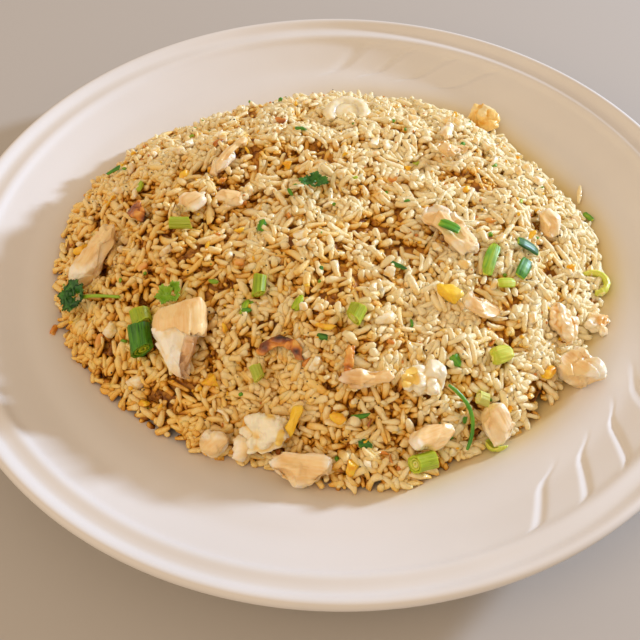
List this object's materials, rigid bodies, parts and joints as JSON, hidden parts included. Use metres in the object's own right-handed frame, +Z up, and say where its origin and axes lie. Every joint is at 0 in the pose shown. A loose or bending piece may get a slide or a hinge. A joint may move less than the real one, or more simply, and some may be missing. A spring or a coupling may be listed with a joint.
{
  "type": "fried rice plate",
  "caption": "Round porcelain dinner plate with fluted stretches of rim, holding a broad heap of fried rice with chicken, egg, scallion and herb.",
  "frame": {"origin": "middle of the foot ring's flat underside, where the plate rests", "axes": "+Z up; +X to the diner's right; -Y towards the diner"},
  "size_m": [0.2957, 0.296, 0.0523],
  "materials": {
    "porcelain": "warm white glazed porcelain, glossy, with soft pressed flutes",
    "rice": "cooked long-grain rice, moist and slightly see-through, cream to amber",
    "chicken": "cooked chicken breast, pale beige with fine fibres, moist",
    "egg_white": "scrambled egg white, crinkled, cream",
    "egg_yolk": "cooked yolk, strong yellow",
    "egg_gold": "fried egg and rice crust, golden",
    "browned": "browned crust, dark orange to near black",
    "onion": "softened onion, cream, see-through",
    "scallion_pale": "pale yellow-green scallion stalk, moist",
    "scallion_deep": "green scallion leaf, moist",
    "herb": "dark green herb leaf"
  },
  "bodies": {
    "root": {"plate": "porcelain", "chicken_large": "chicken", "chicken_left": "chicken", "chicken_back_left": "chicken", "chicken_mid_left": "chicken", "chicken_front_left": "chicken", "chicken_front_left_small": "chicken", "chicken_front": "chicken", "chicken_right": "chicken", "chicken_front_right": "chicken", "chicken_front_middle": "chicken", "chicken_slice": "chicken", "chicken_right_middle": "chicken", "chicken_back": "chicken", "chicken_back_right": "chicken", "chicken_middle": "chicken", "chicken_slab": "chicken", "chicken_back_sliver": "chicken", "egg_front": "egg_white", "egg_front_yolk": "egg_yolk", "egg_middle": "egg_white", "egg_right": "egg_gold", "egg_far_right": "egg_gold", "egg_back": "egg_gold", "egg_yolk_middle": "egg_yolk", "browned_crescent": "browned", "browned_strip": "browned", "browned_left": "browned", "onion_ring": "onion", "herb_sprig": "herb", "herb_leaf_left": "scallion_deep", "herb_leaf_middle": "herb", "scallion_left_pale": "scallion_pale", "scallion_left_deep": "scallion_deep", "scallion_middle": "scallion_pale", "scallion_short": "scallion_pale", "scallion_mid_left": "scallion_pale", "scallion_on_slice": "scallion_deep", "scallion_sheet": "scallion_pale", "scallion_right_upper": "herb", "scallion_right_lower": "herb", "scallion_right_pale": "scallion_pale", "scallion_half_ring": "scallion_pale", "scallion_rings_small": "scallion_pale", "scallion_stalk": "scallion_pale", "scallion_block": "scallion_pale", "scallion_bead": "scallion_pale", "scallion_front": "scallion_pale", "herb_stem": "scallion_deep", "rice": "rice", "loose_grain": "rice", "loose_scallion": "scallion_deep"}
  },
  "joints": []
}
